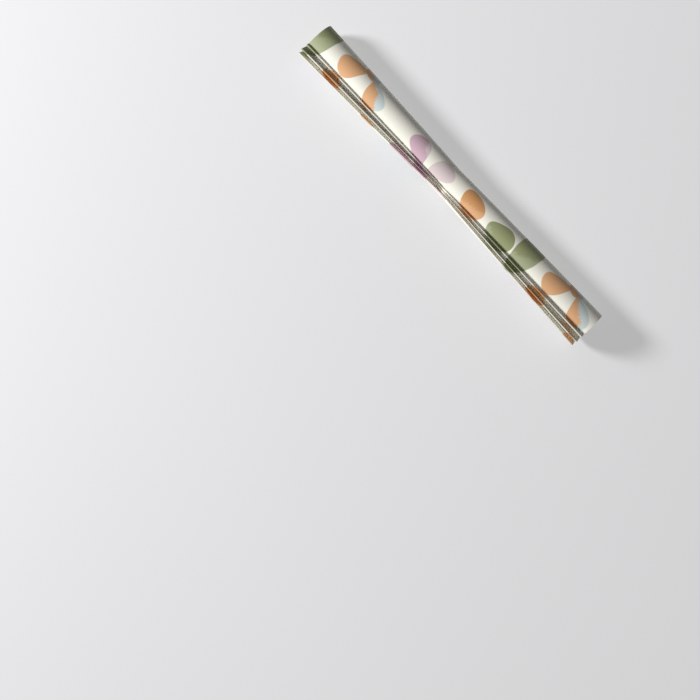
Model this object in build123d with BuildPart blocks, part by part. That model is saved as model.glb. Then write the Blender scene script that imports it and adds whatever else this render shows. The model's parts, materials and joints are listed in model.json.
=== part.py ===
"""Roll of gift wrap: four equal sheets rolled up together on a card core tube.

Every sheet is a spiral of half-circle arcs, nested in the others. Its last stretch, the free end, is a solid of
its own and hinges open about a line along the roll.

Frame: +X along the roll, +Z up, the free edges on the -Y side of the top. The origin is under the middle of the
roll, at the flat that it rests on.
"""
from build123d import *
from math import asin, cos, degrees, radians, sin, sqrt
import os

# Sheets
SHEET_COUNT = 4
SHEET_WIDTH = 508.0  # along the roll
SHEET_LENGTH = 737.0  # round the roll
PAPER = 0.15  # thickness
SPACING = 0.39  # from one sheet to the next, paper and air together
EDGE_ANGLES = [26.0, 45.0, 63.0, 80.0]  # free edges past the top, towards -Y, outermost sheet first

# Roll
ROLL_RADIUS = 26.0
REST_WIDTH = 4.5  # the flat that a paper roll makes under its own weight
HINGE_ANGLE = 45.0  # where the free ends leave the roll, above +Y
HINGE_GAP = 0.3

# Core tube
CORE_RADIUS = 16.5
CORE_WALL = 1.0

# Worked out
PITCH = SHEET_COUNT * SPACING  # growth of the spiral in one turn
LAST_ARC = 11  # number of the half turn that the free edges end on, counted from 0
AXIS_Y = -SPACING  # centres the roll's box on Y
AXIS_Z = sqrt(ROLL_RADIUS**2 - (REST_WIDTH / 2) ** 2)
RIGHT_CENTRE = (AXIS_Y, AXIS_Z)
LEFT_CENTRE = (AXIS_Y, AXIS_Z - PITCH / 2)
ROLL_END = Plane.YZ.offset(-SHEET_WIDTH / 2)
TOP_OF_LAST_TURN = 90.0 + 180.0 * (LAST_ARC - 1)  # angles run on from one turn to the next
HINGE_AT = TOP_OF_LAST_TURN - 90.0 + HINGE_ANGLE
REST_AT = TOP_OF_LAST_TURN - 180.0


def arc_radius(sheet, arc):
    """Radius of a sheet's outer surface on one half turn. Sheet 0 is the outermost."""
    return ROLL_RADIUS - sheet * SPACING + (arc - LAST_ARC + 1) * PITCH / 2


def arc_centre(arc):
    """Half turns on the +Y side share one centre, and those on the -Y side share the other."""
    return RIGHT_CENTRE if arc % 2 == 0 else LEFT_CENTRE


def arc_number(angle):
    """The half turn that an angle falls on."""
    return int((angle + 90.0) // 180.0)


def start_angle(sheet):
    """Angle of a sheet's inner edge, from its free edge and its length."""
    length_left = SHEET_LENGTH
    end = TOP_OF_LAST_TURN + EDGE_ANGLES[sheet]
    arc = LAST_ARC
    while True:
        arc_start = 180.0 * arc - 90.0
        middle_radius = arc_radius(sheet, arc) - PAPER / 2
        arc_length = radians(end - arc_start) * middle_radius
        if arc_length >= length_left:
            return end - degrees(length_left / middle_radius)
        length_left -= arc_length
        end = arc_start
        arc -= 1


def stretches(start, end, with_flat):
    """Cuts a run of the spiral at every half turn, and at the resting flat of the outermost turn."""
    cuts = [180.0 * arc - 90.0 for arc in range(arc_number(start) + 1, arc_number(end) + 1)]
    flat = []
    if with_flat:
        half_flat = degrees(asin(REST_WIDTH / 2 / ROLL_RADIUS))
        flat = [REST_AT - half_flat, REST_AT + half_flat]
        cuts = sorted([cut for cut in cuts if cut != REST_AT] + flat)
    ends = [start] + cuts + [end]
    return [(a, b, a in flat and b in flat) for a, b in zip(ends[:-1], ends[1:])]


def spiral_point(sheet, inset, angle):
    """A point on one surface of a sheet."""
    arc = arc_number(angle)
    radius = arc_radius(sheet, arc) - inset
    centre_y, centre_z = arc_centre(arc)
    return centre_y + radius * cos(radians(angle)), centre_z + radius * sin(radians(angle))


def spiral_line(sheet, inset, start, end, with_flat):
    """Adds one surface of a sheet to the line being built."""
    for a, b, is_flat in stretches(start, end, with_flat):
        if is_flat:
            Line(spiral_point(sheet, inset, a), spiral_point(sheet, inset, b))
        else:
            arc = arc_number((a + b) / 2)
            CenterArc(arc_centre(arc), arc_radius(sheet, arc) - inset, a % 360.0, b - a)


def sheet_stretch(sheet, start, end, label, with_flat=False):
    """A stretch of one sheet, from one angle to another, as a solid."""
    with BuildPart() as stretch:
        with BuildSketch(ROLL_END):
            with BuildLine():
                spiral_line(sheet, 0.0, start, end, with_flat)
                spiral_line(sheet, PAPER, start, end, with_flat)
                for angle in (start, end):
                    Line(spiral_point(sheet, 0.0, angle), spiral_point(sheet, PAPER, angle))
            make_face()
        extrude(amount=SHEET_WIDTH)
    stretch.part.label = label
    return stretch.part


# Core tube
with BuildPart() as core_tube:
    with BuildSketch(ROLL_END):
        with Locations(RIGHT_CENTRE):
            Circle(CORE_RADIUS)
            Circle(CORE_RADIUS - CORE_WALL, mode=Mode.SUBTRACT)
    extrude(amount=SHEET_WIDTH)
core_tube.part.label = "core_tube"

# Sheets, the wound length and the free end of each
parts = [core_tube.part]
for sheet in range(SHEET_COUNT):
    hinge_radius = arc_radius(sheet, LAST_ARC - 1)
    gap_angle = degrees(HINGE_GAP / hinge_radius)
    inner_edge = start_angle(sheet)
    free_edge = TOP_OF_LAST_TURN + EDGE_ANGLES[sheet]
    name = f"sheet_{sheet + 1}"
    parts.append(sheet_stretch(sheet, inner_edge, HINGE_AT, name + "_wound", with_flat=sheet == 0))
    parts.append(sheet_stretch(sheet, HINGE_AT + gap_angle, free_edge, name + "_free_end"))

os.makedirs("parts", exist_ok=True)
for part in parts:
    export_step(part, f"parts/{part.label}.step")
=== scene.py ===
import json
from math import asin, atan2, cos, degrees, pi, radians, sin, sqrt

import bpy
import numpy as np
from mathutils import Matrix, Vector


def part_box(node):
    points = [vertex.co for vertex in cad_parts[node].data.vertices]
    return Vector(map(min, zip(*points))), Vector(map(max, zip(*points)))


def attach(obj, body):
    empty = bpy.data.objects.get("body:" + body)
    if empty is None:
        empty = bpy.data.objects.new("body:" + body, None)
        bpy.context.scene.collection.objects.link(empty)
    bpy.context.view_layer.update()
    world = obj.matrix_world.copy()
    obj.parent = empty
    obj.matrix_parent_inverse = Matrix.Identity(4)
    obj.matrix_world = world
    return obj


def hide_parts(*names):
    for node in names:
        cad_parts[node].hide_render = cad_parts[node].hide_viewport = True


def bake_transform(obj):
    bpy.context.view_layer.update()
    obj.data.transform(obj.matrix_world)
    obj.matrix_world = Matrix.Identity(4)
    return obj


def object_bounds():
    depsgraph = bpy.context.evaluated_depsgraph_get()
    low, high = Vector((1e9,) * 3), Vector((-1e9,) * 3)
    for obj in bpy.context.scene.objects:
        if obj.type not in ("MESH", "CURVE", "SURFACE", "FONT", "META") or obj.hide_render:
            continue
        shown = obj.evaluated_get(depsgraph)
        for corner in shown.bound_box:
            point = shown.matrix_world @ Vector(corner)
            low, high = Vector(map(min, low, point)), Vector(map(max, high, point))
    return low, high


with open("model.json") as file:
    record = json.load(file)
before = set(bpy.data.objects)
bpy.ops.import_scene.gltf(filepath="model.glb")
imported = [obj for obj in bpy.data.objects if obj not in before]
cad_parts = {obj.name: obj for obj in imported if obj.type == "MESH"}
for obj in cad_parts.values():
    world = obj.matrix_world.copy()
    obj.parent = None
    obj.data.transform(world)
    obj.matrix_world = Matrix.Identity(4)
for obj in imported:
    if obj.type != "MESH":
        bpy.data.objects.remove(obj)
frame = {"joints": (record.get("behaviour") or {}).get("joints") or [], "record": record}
cad_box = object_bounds()

# ---------------------------------------------------------------------------
# Sizes, in metres and degrees. Angles round the roll start at its top: they are
# negative on the +Y side, where the sheets come up, and positive past the top.
# ---------------------------------------------------------------------------
MM = 0.001
SHEETS = 4
SHEET_LENGTH = 0.737
PAPER = 0.13 * MM
CLEARANCE = 0.35 * MM  # from the core to the outer face of the innermost turn
SAG = 0.66 * MM  # how far the outermost turn hangs below its even spiral
LAYERS = 25.6  # layers of paper from the core to the top
WAIST_RADIUS = 20.5 * MM
WAIST_AT = -0.005  # the roll is gripped a little off its middle
TURN = 360.0
STATIONS = 91  # places along the roll where the paper is worked out
HINGE_BAND = 0.4  # the last row of paper before the hinge line, and the first one after it
SHARP_ANGLE = 50.0  # faces that meet at more than this are shaded apart

core_low, core_high = (Vector(corner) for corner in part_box("core_tube"))
axis_y, axis_z = (core_low[1] + core_high[1]) / 2, (core_low[2] + core_high[2]) / 2
half_length = core_high[0]
core_radius = (core_high[2] - core_low[2]) / 2
core_wall = core_radius - MM * frame["record"]["mounts"][0]["dims"]["r_mm"]
END_RADIUS = cad_box[1][2] - axis_z
FIRST_RADIUS = core_radius + CLEARANCE
hinge = frame["joints"][0]["pos_m"]
HINGE_ANGLE = degrees(atan2(hinge[2] - axis_z, hinge[1] - axis_y)) - 90.0

# The free end of each sheet, outermost first. It leaves the roll, turns up in a tight fold, stands out as
# a lip and ends in a small curl. Lengths are in millimetres, seen from above, and a pair is for the -X and
# the +X end of the roll. EDGE_AT is from the core's axis to the cut edge, LIP from the middle of the fold to
# the cut edge, and CURL the part of LIP that the curl takes.
EDGE_AT = [(13.0, 12.7), (21.5, 21.6), (27.5, 27.4), (26.4, 26.4)]
LIP = [(3.9, 5.6), (7.8, 7.8), (5.8, 5.6), (1.5, 1.5)]
FOLD_RADIUS = [(1.0, 1.8), (0.8, 0.8), (0.6, 0.6), (6.0, 6.0)]
LIP_RISE = [65.0, 65.0, 73.0, -8.0]
CURL = [(1.7, 1.6), (1.8, 1.8), (1.4, 1.4), (0.3, 0.3)]
CURL_RISE = [8.0, 8.0, 8.0, -10.0]
CURL_RADIUS = 0.30
WAIST_EDGE_AT = [11.0, 14.2, 17.4, 19.2]
WAIST_LIP = 1.3
WAIST_FOLD = 0.25  # radius of the fold at the waist, as a share of the one at the ends
VIEW_TILT = 7.0  # all of this is then turned by so much, further round the roll


def share_of_half(x):
    """0 at the waist and 1 at either end."""
    reach = half_length + (WAIST_AT if x < WAIST_AT else -WAIST_AT)
    return min(1.0, abs(x - WAIST_AT) / reach)


def flare(x):
    """How far the roll has opened from its waist, 0 to 1."""
    soft = 0.03
    power = 0.35
    low = soft ** (2 * power)
    return ((share_of_half(x) ** 2 + soft**2) ** power - low) / ((1 + soft**2) ** power - low)


def spacing(x):
    """From one layer of paper to the next, at a place along the roll."""
    outer = WAIST_RADIUS + (END_RADIUS - WAIST_RADIUS) * flare(x)
    return (outer - FIRST_RADIUS) / LAYERS


def radius(sheet, angle, x):
    """Outer face of a sheet. The turns hang a little below the core, which closes the gap to the floor."""
    layer = LAYERS - sheet + SHEETS * angle / TURN
    hang = SAG / LAYERS * (1 - cos(radians(angle))) / 2
    return FIRST_RADIUS + layer * (spacing(x) + hang)


def smooth(low, high, value):
    """0 at low and 1 at high, with a soft start and stop."""
    t = min(1.0, max(0.0, (value - low) / (high - low)))
    return t * t * (3 - 2 * t)


# ---------------------------------------------------------------------------
# Meshes
# ---------------------------------------------------------------------------
def stations():
    """Places along the roll, closer together at the waist."""
    bunching = 0.5
    even = np.linspace(-1, 1, STATIONS)
    bunched = even * (1 - bunching + bunching * even**2)
    return [half_length * t for t in bunched]


def new_object(name, points, faces, smooth_faces, uvs, slots, materials):
    """A mesh object. uvs has one place for each point, and slots one material number for each face."""
    mesh = bpy.data.meshes.new(name)
    mesh.from_pydata(points, [], faces)
    mesh.polygons.foreach_set("use_smooth", smooth_faces)
    mesh.polygons.foreach_set("material_index", slots)
    layer = mesh.uv_layers.new(name="flat_sheet")
    corners = np.empty(len(mesh.loops), dtype=np.int32)
    mesh.loops.foreach_get("vertex_index", corners)
    layer.data.foreach_set("uv", np.asarray(uvs, dtype=np.float32)[corners].ravel())
    for material in materials:
        mesh.materials.append(material)
    mesh.update()
    mesh.set_sharp_from_angle(angle=radians(SHARP_ANGLE))
    obj = bpy.data.objects.new(name, mesh)
    bpy.context.scene.collection.objects.link(obj)
    return obj


def shell(name, outer, inner, uv, materials, closed=False):
    """A thin closed body between two grids of points. Its rim is flat shaded, in the inner material."""
    rows, columns = outer.shape[:2]
    count = rows * columns
    points = np.concatenate([outer.reshape(-1, 3), inner.reshape(-1, 3)])

    def quads(first, second, third, fourth):
        return np.stack([first.ravel(), second.ravel(), third.ravel(), fourth.ravel()], axis=1)

    grid = np.arange(count).reshape(rows, columns)
    after = np.roll(grid, -1, axis=0) if closed else grid[1:]
    here = grid if closed else grid[:-1]
    face = quads(here[:, :-1], after[:, :-1], after[:, 1:], here[:, 1:])
    back = face[:, ::-1] + count
    low = quads(here[:, 0] + count, after[:, 0] + count, after[:, 0], here[:, 0])
    high = quads(here[:, -1], after[:, -1], after[:, -1] + count, here[:, -1] + count)
    rims = [low, high]
    if not closed:
        first, last = grid[0], grid[-1]
        rims.append(quads(first[:-1], first[1:], first[1:] + count, first[:-1] + count))
        rims.append(quads(last[1:], last[:-1], last[:-1] + count, last[1:] + count))
    rim = np.concatenate(rims)
    faces = np.concatenate([face, back, rim])
    smooth_faces = np.ones(len(faces), dtype=bool)
    smooth_faces[len(face) + len(back):] = False
    slots = np.ones(len(faces), dtype=np.int32)
    slots[: len(face)] = 0
    uvs = np.concatenate([uv.reshape(-1, 2)] * 2)
    return new_object(name, points.tolist(), faces.tolist(), smooth_faces, uvs, slots, materials)


def across(y, z, out_y, out_z):
    """A point on the outer face of the paper, given from the core's axis, and the one behind it on the inner
    face, both in the shared frame."""
    return (axis_y + y, axis_z + z), (axis_y + y - out_y * PAPER, axis_z + z - out_z * PAPER)


def sheet_uv(angle, x):
    """Where a point of the roll lies on the flat print."""
    return radians(angle) * END_RADIUS, x


def inner_edge(sheet, free_edge):
    """Angle of a sheet's inner edge: the spiral from there to its free edge is as long as the sheet."""
    samples = 201
    places = np.linspace(-half_length, half_length, samples)
    step = np.mean([spacing(x) for x in places])
    at_top = FIRST_RADIUS + (LAYERS - sheet) * step - PAPER / 2
    growth = SHEETS * step / (2 * pi)
    end = radians(free_edge)
    rest = SHEET_LENGTH - at_top * end - growth / 2 * end**2
    return degrees((-at_top + sqrt(at_top**2 - 2 * growth * rest)) / growth)


def telescope(angle, x):
    """Inner turns stand out a little at the -X end of the roll, and in at the other."""
    step = 0.16 * MM  # for each turn
    still = 0.6  # turns that stay in line, from the outside
    unevenness, beat = 0.4, 2.1
    turns_in = -angle / TURN
    return x - step * max(0.0, turns_in - still) * (1 + unevenness * sin(beat * turns_in))


def wound_sheet(sheet, free_edge, materials):
    """The rolled length of a sheet, from its inner edge to the line where its free end begins."""
    coarse, fine = 7.5, 4.0  # from row to row, on the hidden turns and on the last one
    start = inner_edge(sheet, free_edge)
    inside = np.arange(start, HINGE_ANGLE - TURN, coarse)
    outside = np.arange(HINGE_ANGLE - TURN, HINGE_ANGLE - fine / 2, fine)
    angles = np.concatenate([inside[:-1], outside, [HINGE_ANGLE - HINGE_BAND, HINGE_ANGLE]])
    along = stations()
    outer = np.empty((len(angles), len(along), 3))
    inner = np.empty_like(outer)
    uv = np.empty((len(angles), len(along), 2))
    for i, angle in enumerate(angles):
        out_y, out_z = -sin(radians(angle)), cos(radians(angle))
        for j, x in enumerate(along):
            r = radius(sheet, angle, x)
            face, behind = across(r * out_y, r * out_z, out_y, out_z)
            shifted = telescope(angle, x)
            outer[i, j] = shifted, *face
            inner[i, j] = shifted, *behind
            uv[i, j] = sheet_uv(angle, x)
    return shell(f"sheet_{sheet + 1}_wound", outer, inner, uv, materials)


def at_end(pair, x):
    """The value for the end of the roll that x is nearer to."""
    return pair[0] if x < WAIST_AT else pair[1]


def lip_at(sheet, x):
    """The free end of a sheet at one place along the roll: the angle where its fold begins, the fold's
    radius, the rise and length of the lip, and the rise and width of the curl."""
    furthest = 0.97  # sine of the angle that the fold never starts beyond
    least_lip = 0.1 * MM
    opened = sqrt(flare(x))
    edge = WAIST_EDGE_AT[sheet] + (at_end(EDGE_AT[sheet], x) - WAIST_EDGE_AT[sheet]) * flare(x)
    width = WAIST_LIP + (at_end(LIP[sheet], x) - WAIST_LIP) * opened
    fold = (edge - width) * MM
    bend = at_end(FOLD_RADIUS[sheet], x) * MM * (WAIST_FOLD + (1 - WAIST_FOLD) * opened)
    r = radius(sheet, degrees(asin(fold / END_RADIUS)), x)
    lie = asin(min(furthest, fold / r))
    rise = radians(LIP_RISE[sheet])
    half_fold = bend * (sin(lie) + sin(rise)) / 2
    start = asin(min(furthest, max(0.0, fold - half_fold) / r))
    fold_end = (r + bend) * sin(start) + bend * sin(rise)
    curl = at_end(CURL[sheet], x) * opened * MM
    lip = max(least_lip, (edge * MM - curl - fold_end) / cos(rise))
    start = degrees(start) + VIEW_TILT
    return start, bend, LIP_RISE[sheet] - VIEW_TILT, lip, CURL_RISE[sheet] - VIEW_TILT, curl


def free_end(sheet, materials):
    """The last stretch of a sheet: over the top of the roll, up into a lip, and curled at its edge."""
    on_roll, on_fold, on_lip, on_curl = 24, 12, 6, 8  # rows of paper
    first_row = 3.0  # past the hinge band
    least_tip = 0.05 * MM
    along = stations()
    rows = 2 + on_roll + on_fold + on_lip + on_curl + 1
    outer = np.empty((rows, len(along), 3))
    inner = np.empty_like(outer)
    uv = np.empty((rows, len(along), 2))
    for j, x in enumerate(along):
        start, bend, rise, lip, curl_rise, curl = lip_at(sheet, x)
        evenly = np.linspace(HINGE_ANGLE + first_row, start, on_roll)
        angles = [HINGE_ANGLE, HINGE_ANGLE + HINGE_BAND, *evenly]
        path = []
        for angle in angles:
            r = radius(sheet, angle, x)
            path.append((-r * sin(radians(angle)), r * cos(radians(angle)), angle, sheet_uv(angle, x)[0]))
        r = radius(sheet, start, x)
        centre_y, centre_z = -(r + bend) * sin(radians(start)), (r + bend) * cos(radians(start))
        at_start = path[-1][3]
        for turned in np.linspace(start, -rise, on_fold + 1)[1:]:
            y, z = centre_y + bend * sin(radians(turned)), centre_z - bend * cos(radians(turned))
            path.append((y, z, turned, at_start + radians(start - turned) * bend))
        fold_y, fold_z, turned, at_lip = path[-1]
        for out in np.linspace(0, lip, on_lip + 1)[1:]:
            y, z = fold_y - out * cos(radians(rise)), fold_z + out * sin(radians(rise))
            path.append((y, z, turned, at_lip + out))
        curl_y, curl_z, turned, at_curl = path[-1]
        curl_bend = CURL_RADIUS * MM * flare(x)
        centre_y = curl_y + curl_bend * sin(radians(turned))
        centre_z = curl_z - curl_bend * cos(radians(turned))
        at_curl -= radians(turned) * curl_bend
        for turned in np.linspace(turned, -curl_rise, on_curl + 1)[1:]:
            y, z = centre_y - curl_bend * sin(radians(turned)), centre_z + curl_bend * cos(radians(turned))
            path.append((y, z, turned, at_curl + radians(turned) * curl_bend))
        tip_y, tip_z, turned, at_tip = path[-1]
        tip = max(least_tip, curl - curl_bend * sin(radians(rise)))
        y, z = tip_y - tip * cos(radians(curl_rise)), tip_z + tip * sin(radians(curl_rise))
        path.append((y, z, turned, at_tip + tip))
        for i, (y, z, angle, round_roll) in enumerate(path):
            out_y, out_z = -sin(radians(angle)), cos(radians(angle))
            face, behind = across(y, z, out_y, out_z)
            outer[i, j] = x, *face
            inner[i, j] = x, *behind
            uv[i, j] = round_roll, x
    return shell(f"sheet_{sheet + 1}_free_end", outer, inner, uv, materials)


def core_tube(materials):
    """Card tube wound from strips: the strips meet in a shallow helical seam, inside and out."""
    lead = 0.085  # along the tube, for one turn of the seam
    seam_start = 0.3
    seam_depth, seam_width = 0.12 * MM, 0.03  # the width is a share of the lead
    wear, wear_length = 0.25 * MM, 1.5 * MM
    around, along = 120, 201
    outer = np.empty((around, along, 3))
    inner = np.empty_like(outer)
    uv = np.empty((around, along, 2))
    for i in range(around):
        angle = TURN * i / around
        out_y, out_z = -sin(radians(angle)), cos(radians(angle))
        for j, x in enumerate(np.linspace(-half_length, half_length, along)):
            from_seam = (x / lead + angle / TURN + seam_start) % 1.0
            groove = seam_depth * max(0.0, 1 - min(from_seam, 1 - from_seam) / seam_width)
            worn_end = wear * smooth(wear_length, 0.0, half_length - abs(x))
            r = core_radius - groove - worn_end
            outer[i, j] = x, axis_y + r * out_y, axis_z + r * out_z
            r = core_radius - core_wall + groove + worn_end
            inner[i, j] = x, axis_y + r * out_y, axis_z + r * out_z
            uv[i, j] = radians(angle) * core_radius, x
    return shell("core_board", outer, inner, uv, materials, closed=True)


# ---------------------------------------------------------------------------
# Materials
# ---------------------------------------------------------------------------
COLOUR_A, COLOUR_B = 6, 7  # colour sockets of a Mix node
MIXED_COLOUR = 2  # outputs of the Mix, Noise Texture, Texture Coordinate and Light Path nodes
NOISE_COLOUR = 1
OBJECT_PLACE = 3
SEEN_BY_CAMERA = 0


class Wire:
    """A value in a material. Arithmetic on it adds Math nodes."""

    def __init__(self, tree, socket):
        self.tree = tree
        self.socket = socket

    def node(self, kind, settings, sockets, output=0):
        """Adds any node: its settings first, then the values or wires of its sockets."""
        made = self.tree.nodes.new(kind)
        for name, value in settings.items():
            setattr(made, name, value)
        for key, value in sockets.items():
            if isinstance(value, Wire):
                self.tree.links.new(value.socket, made.inputs[key])
            else:
                made.inputs[key].default_value = value
        return Wire(self.tree, made.outputs[output])

    def math(self, operation, *others):
        sockets = dict(enumerate((self, *others)))
        return self.node("ShaderNodeMath", {"operation": operation}, sockets)

    def __add__(self, other):
        return self.math("ADD", other)

    def __sub__(self, other):
        return self.math("SUBTRACT", other)

    def __mul__(self, other):
        return self.math("MULTIPLY", other)

    def __truediv__(self, other):
        return self.math("DIVIDE", other)

    __radd__ = __add__


def rgb(code):
    """A screen colour such as E09A55 as the linear colour that shaders take."""
    parts = [int(code[i:i + 2], 16) / 255 for i in (0, 2, 4)]
    return [p / 12.92 if p <= 0.04045 else ((p + 0.055) / 1.055) ** 2.4 for p in parts] + [1.0]


def new_material(name):
    """A material, its shader, and a wire that starts its other nodes."""
    material = bpy.data.materials.new(name)
    material.use_nodes = True
    shader = material.node_tree.nodes["Principled BSDF"]
    return material, shader, Wire(material.node_tree, None)


def feed(shader, name, wire):
    """Connects a wire to one of the shader's sockets."""
    wire.tree.links.new(wire.socket, shader.inputs[name])


def blend_colours(mask, under, over):
    """under where mask is 0, over where it is 1."""
    sockets = {"Factor": mask, COLOUR_A: under, COLOUR_B: over}
    return mask.node("ShaderNodeMix", {"data_type": "RGBA"}, sockets, MIXED_COLOUR)


def spread(amount, low, high):
    """An amount from 0 to 1, taken to a range."""
    return amount * (high - low) + low


def noise(place, scale, detail=2.0, roughness=0.5):
    """Grey noise from 0 to 1, at a scale per metre of paper."""
    sockets = {"Vector": place, "Scale": scale, "Detail": detail, "Roughness": roughness}
    return place.node("ShaderNodeTexNoise", {}, sockets)


def streaks(place, round_scale, along_scale, detail, roughness):
    """Noise with a scale for each direction, which makes brush strokes and fibres."""
    sockets = {0: place, 1: (round_scale, along_scale, 1.0)}
    drawn_out = place.node("ShaderNodeVectorMath", {"operation": "MULTIPLY"}, sockets)
    return noise(drawn_out, 1.0, detail, roughness)


def edge_mask(distance, softness):
    """1 where distance is below zero, 0 above, with a printed edge as soft as ink on paper."""
    return distance.node(
        "ShaderNodeMapRange",
        {"interpolation_type": "SMOOTHSTEP"},
        {"Value": distance, "From Min": -softness, "From Max": softness, "To Min": 1.0, "To Max": 0.0},
    )


# The print: a half-drop repeat of petal flowers and pebbles, in metres and degrees
REPEAT_ROUND = 0.360  # round the roll
REPEAT_ALONG = 0.189  # along the roll, from one column to the next, which is dropped by half a repeat
CREAM, ORANGE, OLIVE, TEAL = rgb("F5F2E6"), rgb("DFAD80"), rgb("A7AC8A"), rgb("76988A")
MIST, ROSE, BLUSH, STRAW = rgb("C8D5D4"), rgb("CFB0BC"), rgb("DFCFCF"), rgb("EAD5A2")
DEEP_ORANGE, DEEP_OLIVE = rgb("D69D68"), rgb("989E74")
PRINT_EDGE = 0.0006
BRUSH_EDGE = 0.0005
WANDER = 0.004  # how far outlines stray from their plain shapes
RAGGED = 0.022  # how rough the line between two inks is

# Shape, round the roll, along it, size, petals or length, turned by, ink, second ink, and where the second
# ink begins: how far from the middle, and in which direction
MOTIFS = [
    ("pebble", -0.008, 0.133, 0.0170, 2.9, 174.0, OLIVE, DEEP_OLIVE, -0.006, 200.0),
    ("pebble", 0.006, 0.092, 0.0200, 1.1, 80.0, OLIVE, DEEP_OLIVE, -0.006, 160.0),
    ("flower", -0.026, 0.212, 0.052, 4, 53.0, ORANGE, MIST, 0.0, 130.0),
    ("flower", 0.030, -0.038, 0.053, 5, 1.0, ROSE, BLUSH, 0.008, 120.0),
    ("flower", 0.100, 0.118, 0.050, 6, 10.0, TEAL, MIST, -0.012, 300.0),
    ("pebble", 0.002, 0.039, 0.0175, 1.25, 40.0, ORANGE, DEEP_ORANGE, -0.004, 200.0),
    ("pebble", 0.086, 0.029, 0.012, 1.4, 20.0, STRAW, ORANGE, -0.006, 10.0),
    ("pebble", -0.088, 0.030, 0.017, 1.5, 110.0, OLIVE, DEEP_OLIVE, -0.004, 90.0),
    ("pebble", -0.132, 0.062, 0.013, 1.4, 40.0, STRAW, ORANGE, -0.004, 180.0),
    ("pebble", 0.030, 0.177, 0.012, 1.3, 80.0, ORANGE, DEEP_ORANGE, -0.004, 250.0),
]


def from_motif(round_roll, along, across_at, along_at):
    """Distances from the nearest copy of a motif, whose every second column drops by half a repeat."""
    away = along - along_at
    column = (away / REPEAT_ALONG).math("ROUND")
    over = away - column * REPEAT_ALONG
    down = round_roll - across_at - column * (REPEAT_ROUND / 2)
    return down.math("WRAP", REPEAT_ROUND / 2, -REPEAT_ROUND / 2), over


def flower(x, y, size, petals, turned):
    """Below zero inside a ring of round petals on a small eye."""
    middle_at, half_petal, depth, neck, eye = 0.60, 0.42, 0.30, 0.05, 0.24  # shares of the size
    widening = 0.36
    sector = 2 * pi / petals
    reach = (x * x + y * y).math("SQRT")
    angle = (y.math("ARCTAN2", x) + radians(turned)).math("WRAP", sector / 2, -sector / 2)
    along_petal = reach * angle.math("COSINE")
    across_petal = reach * angle.math("SINE")
    width = along_petal * widening + neck * size
    a = (along_petal - middle_at * size) / (half_petal * size)
    b = across_petal / width
    petal = ((a * a + b * b).math("SQRT") - 1.0) * (depth * size)
    return petal.math("MINIMUM", reach - eye * size)


def pebble(x, y, size, length, turned):
    """Below zero inside a rounded pebble, blunter at one end."""
    bluntness = 0.25
    c, s = cos(radians(turned)), sin(radians(turned))
    along = (x * c + y * s) / (size * length)
    width = (y * c - x * s) / (along * (bluntness * size) + size)
    return ((along * along + width * width).math("SQRT") - 1.0) * size


def printed_paper():
    """Cream gift wrap with a satin finish, printed with flowers and pebbles in dry-brushed colours."""
    wander_scale, patch_scale, mottle_scale, gloss_scale, grain_scale = 28.0, 45.0, 700.0, 120.0, 2600.0
    material, shader, start = new_material("printed_paper")
    place = start.node("ShaderNodeUVMap", {"uv_map": "flat_sheet"}, {})
    slow = {"Vector": place, "Scale": wander_scale, "Detail": 1.0}
    wander = place.node("ShaderNodeTexNoise", {}, slow, NOISE_COLOUR)
    sockets = {0: wander, 1: (WANDER, WANDER, 0.0), 2: place}
    moved = place.node("ShaderNodeVectorMath", {"operation": "MULTIPLY_ADD"}, sockets)
    round_roll, along = [
        moved.node("ShaderNodeSeparateXYZ", {}, {"Vector": moved}, axis) for axis in (0, 1)
    ]
    strokes = streaks(place, round_scale=110.0, along_scale=900.0, detail=3.0, roughness=0.65) - 0.5
    patches = noise(place, patch_scale) - 0.5
    ragged = strokes * RAGGED + patches * RAGGED
    colour = None
    for shape, across_at, along_at, size, count, turned, ink, second, reach, towards in MOTIFS:
        x, y = from_motif(round_roll, along, across_at, along_at)
        outline = flower if shape == "flower" else pebble
        mask = edge_mask(outline(x, y, size, count, turned), PRINT_EDGE)
        away = x * cos(radians(towards)) + y * sin(radians(towards))
        brushed = edge_mask(reach + ragged - away, BRUSH_EDGE)
        colour = blend_colours(mask, colour or CREAM, blend_colours(brushed, ink, second))
    mottle = spread(noise(place, mottle_scale, detail=3.0), 0.95, 1.05)
    multiply = {"data_type": "RGBA", "blend_type": "MULTIPLY"}
    sockets = {"Factor": 1.0, COLOUR_A: colour, COLOUR_B: mottle}
    colour = colour.node("ShaderNodeMix", multiply, sockets, MIXED_COLOUR)
    feed(shader, "Base Color", colour)
    feed(shader, "Roughness", spread(noise(place, gloss_scale), 0.52, 0.62))
    grain = noise(place, grain_scale, detail=3.0, roughness=0.6)
    feed(shader, "Normal", bump(grain, strength=0.10, distance=0.05 * MM))
    shader.inputs["Specular IOR Level"].default_value = 0.35
    return material


def bump(height, strength, distance):
    """A normal from a height that goes from 0 to 1."""
    return height.node("ShaderNodeBump", {}, {"Height": height, "Strength": strength, "Distance": distance})


def plain_back():
    """The unprinted side of the paper: off-white, soft and slightly fibrous."""
    material, shader, start = new_material("plain_paper_back")
    place = start.node("ShaderNodeUVMap", {"uv_map": "flat_sheet"}, {})
    fibres = streaks(place, round_scale=900.0, along_scale=500.0, detail=4.0, roughness=0.65)
    colour = blend_colours(fibres, rgb("B5B0A6"), rgb("C6C2B8"))
    feed(shader, "Base Color", colour)
    feed(shader, "Roughness", spread(fibres, 0.62, 0.77))
    feed(shader, "Normal", bump(fibres, strength=0.15, distance=0.06 * MM))
    return material


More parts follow.
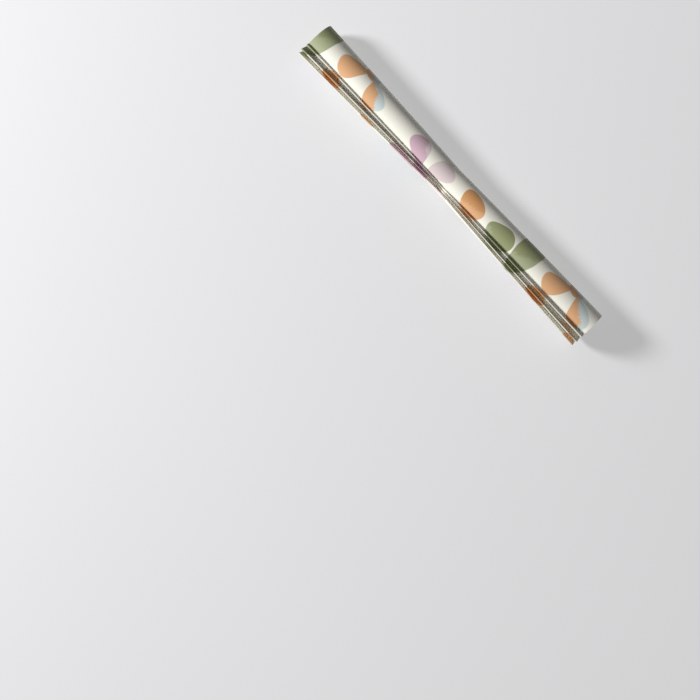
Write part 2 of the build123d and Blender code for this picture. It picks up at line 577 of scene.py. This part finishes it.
def kraft_board():
    """Grey-brown card of the core, with fibres that run along the tube."""
    material, shader, start = new_material("kraft_board")
    place = start.node("ShaderNodeUVMap", {"uv_map": "flat_sheet"}, {})
    fibres = streaks(place, round_scale=1400.0, along_scale=260.0, detail=4.0, roughness=0.7)
    clouds = noise(place, scale=90.0, detail=3.0)
    colour = blend_colours(fibres, rgb("9A7B57"), rgb("C6A77E"))
    colour = blend_colours(spread(clouds, 0.0, 0.35), colour, rgb("B59468"))
    feed(shader, "Base Color", colour)
    feed(shader, "Roughness", spread(fibres, 0.80, 0.92))
    feed(shader, "Normal", bump(fibres, strength=0.35, distance=0.1 * MM))
    return material


def floor_material():
    """A pale matt floor with a slight glow, which keeps the shadows on it light."""
    material, shader, start = new_material("pale_floor")
    place = start.node("ShaderNodeTexCoord", {}, {}, OBJECT_PLACE)
    clouds = noise(place, scale=3.0, detail=1.0)
    feed(shader, "Base Color", blend_colours(clouds, rgb("97979A"), rgb("959598")))
    shader.inputs["Roughness"].default_value = 0.7
    shader.inputs["Emission Color"].default_value = (1.0, 1.0, 1.0, 1.0)
    shader.inputs["Emission Strength"].default_value = FLOOR_GLOW
    return material


# ---------------------------------------------------------------------------
# The roll
# ---------------------------------------------------------------------------
FREE_EDGE = [33.0, 52.0, 70.0, 87.0]  # where each cut edge is round the roll, outermost first

paper = [printed_paper(), plain_back()]
board = kraft_board()

core = core_tube([board, board])
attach(core, "core")
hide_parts("core_tube")

for sheet in range(SHEETS):
    wound = wound_sheet(sheet, FREE_EDGE[sheet], paper)
    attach(wound, "wound_roll")
    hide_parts(f"sheet_{sheet + 1}_wound")

    end = free_end(sheet, paper)
    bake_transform(end)
    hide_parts(f"sheet_{sheet + 1}_free_end")

# ---------------------------------------------------------------------------
# Stage
# ---------------------------------------------------------------------------
ACROSS = Vector((0.6836, 0.7296, 0.0))  # to the camera's right
UP = Vector((-0.7296, 0.6836, 0.0))  # to the camera's top
VIEW_CENTRE = Vector((0.0656, -0.2406, 0.0))
CAMERA_HEIGHT = 2.0
SENSOR = 36.0
FLOOR_IN_VIEW = 0.9105  # from one side of the view to the other
FLOOR_REACH = 6.0
ROOM_LIGHT = 0.05
BACKDROP = 0.8
KEY_PLACE = (-2.5, -1.55, 1.80)
KEY_AIM = (0.0, 0.0, 0.03)
KEY_SIZE = 0.8
KEY_POWER = 189.0
FLOOR_GLOW = 0.45


def add_floor():
    """A square of plain floor under the roll."""
    signs = ((-1, -1), (1, -1), (1, 1), (-1, 1))
    points = [(FLOOR_REACH * along, FLOOR_REACH * across_it, 0.0) for along, across_it in signs]
    mesh = bpy.data.meshes.new("floor")
    mesh.from_pydata(points, [], [(0, 1, 2, 3)])
    mesh.materials.append(floor_material())
    obj = bpy.data.objects.new("floor", mesh)
    bpy.context.scene.collection.objects.link(obj)


def add_light(name, place, aim, size, power):
    """A round soft lamp that points at a place."""
    light = bpy.data.lights.new(name, "AREA")
    light.shape = "DISK"
    light.size = size
    light.energy = power
    obj = bpy.data.objects.new(name, light)
    obj.location = place
    obj.rotation_euler = (Vector(aim) - Vector(place)).to_track_quat("-Z", "Y").to_euler()
    bpy.context.scene.collection.objects.link(obj)


def add_camera():
    """Looks straight down, with the roll lying from the top left to the bottom right."""
    data = bpy.data.cameras.new("camera")
    data.sensor_width = SENSOR
    data.lens = SENSOR * CAMERA_HEIGHT / FLOOR_IN_VIEW
    obj = bpy.data.objects.new("camera", data)
    turn = Matrix((ACROSS.normalized(), UP.normalized(), Vector((0, 0, 1)))).transposed()
    obj.matrix_world = Matrix.Translation(VIEW_CENTRE + Vector((0, 0, CAMERA_HEIGHT))) @ turn.to_4x4()
    bpy.context.scene.collection.objects.link(obj)
    bpy.context.scene.camera = obj


def light_room():
    """One soft lamp on the roll's free-edge side, and an even room that looks brighter than it shines."""
    world = bpy.data.worlds.new("room")
    world.use_nodes = True
    background = world.node_tree.nodes["Background"]
    background.inputs["Color"].default_value = (1.0, 1.0, 1.0, 1.0)
    seen = Wire(world.node_tree, None).node("ShaderNodeLightPath", {}, {}, SEEN_BY_CAMERA)
    strength = seen * (BACKDROP - ROOM_LIGHT) + ROOM_LIGHT
    world.node_tree.links.new(strength.socket, background.inputs["Strength"])
    bpy.context.scene.world = world
    bpy.context.scene.view_settings.view_transform = "Standard"
    add_light("key", KEY_PLACE, KEY_AIM, KEY_SIZE, KEY_POWER)


add_floor()
add_camera()
light_room()
